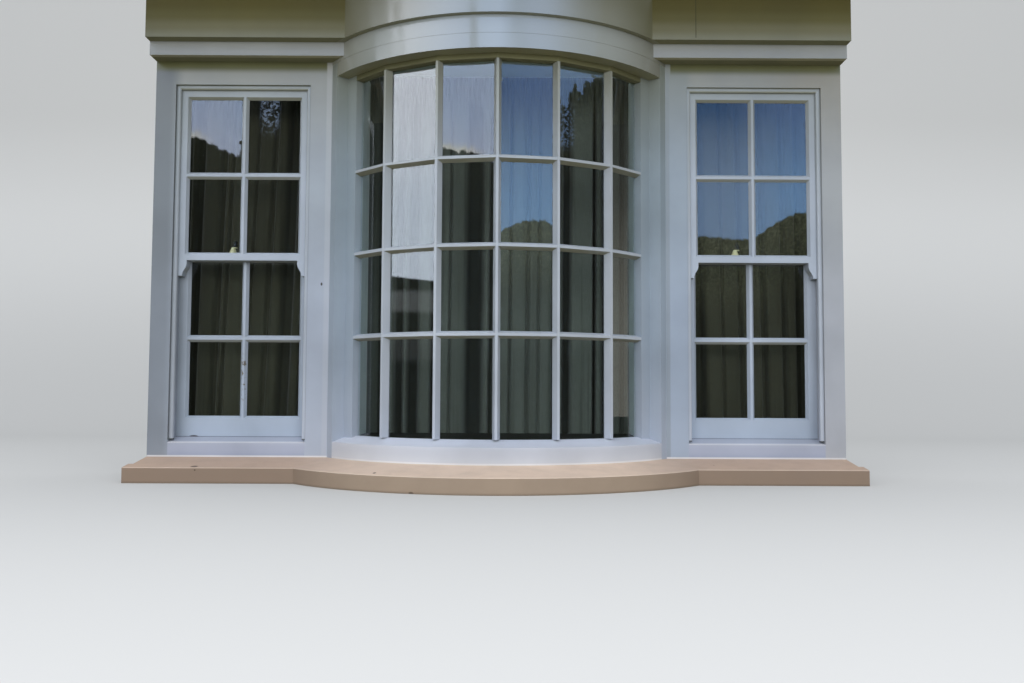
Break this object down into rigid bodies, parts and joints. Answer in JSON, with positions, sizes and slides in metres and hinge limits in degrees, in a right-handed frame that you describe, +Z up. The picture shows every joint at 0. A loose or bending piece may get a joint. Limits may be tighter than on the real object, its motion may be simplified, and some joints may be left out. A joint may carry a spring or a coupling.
{
  "type": "bow window with flanking sash windows",
  "caption": "Painted timber facade window: a curved bow of flat lights with a hung-sash window on either side, a bowed outer sill, a moulded head, linings and gathered curtains.",
  "frame": {"origin": "on the underside of the outer sill, below the face of the casings, halfway along the unit", "axes": "+X to the right along the wall as seen from outside, +Y into the house, +Z up"},
  "size_m": [2.836, 0.8319, 1.922],
  "materials": {
    "white_paint": "gloss white paint on timber, in shade, with faint brush lines",
    "frieze_paint": "satin greenish cream paint on boards",
    "sill_paint": "matt cream masonry paint, weathered",
    "glass": "clear window glass",
    "curtain_cloth": "grey-green woven cloth in soft folds",
    "track_enamel": "white enamelled rail",
    "fastener_enamel": "cream enamel with a black lever"
  },
  "bodies": {
    "root": {"band_left": "white_paint", "band_right": "white_paint", "bow_band": "white_paint", "bow_bars": "white_paint", "bow_bottom_rail": "white_paint", "bow_cap": "frieze_paint", "bow_ceiling": "white_paint", "bow_fascia": "white_paint", "bow_frieze": "frieze_paint", "bow_glass": "glass", "bow_head_rail": "white_paint", "bow_post_left": "white_paint", "bow_post_right": "white_paint", "bow_transoms": "white_paint", "casing_left": "white_paint", "casing_right": "white_paint", "curtain_left": "curtain_cloth", "curtain_middle": "curtain_cloth", "curtain_right": "curtain_cloth", "curtain_track": "track_enamel", "frieze_left": "frieze_paint", "frieze_right": "frieze_paint", "head_beam": "frieze_paint", "lining_left": "white_paint", "lining_right": "white_paint", "lower_glass_left": "glass", "lower_glass_right": "glass", "lower_sash_left": "white_paint", "lower_sash_right": "white_paint", "outer_sill": "sill_paint", "sash_box_left": "white_paint", "sash_box_right": "white_paint", "sash_fastener_left": "fastener_enamel", "sash_fastener_right": "fastener_enamel", "staff_bead_left": "white_paint", "staff_bead_right": "white_paint", "upper_glass_left": "glass", "upper_glass_right": "glass", "upper_sash_left": "white_paint", "upper_sash_right": "white_paint", "window_board": "white_paint", "window_sill_left": "white_paint", "window_sill_right": "white_paint"}
  },
  "joints": []
}
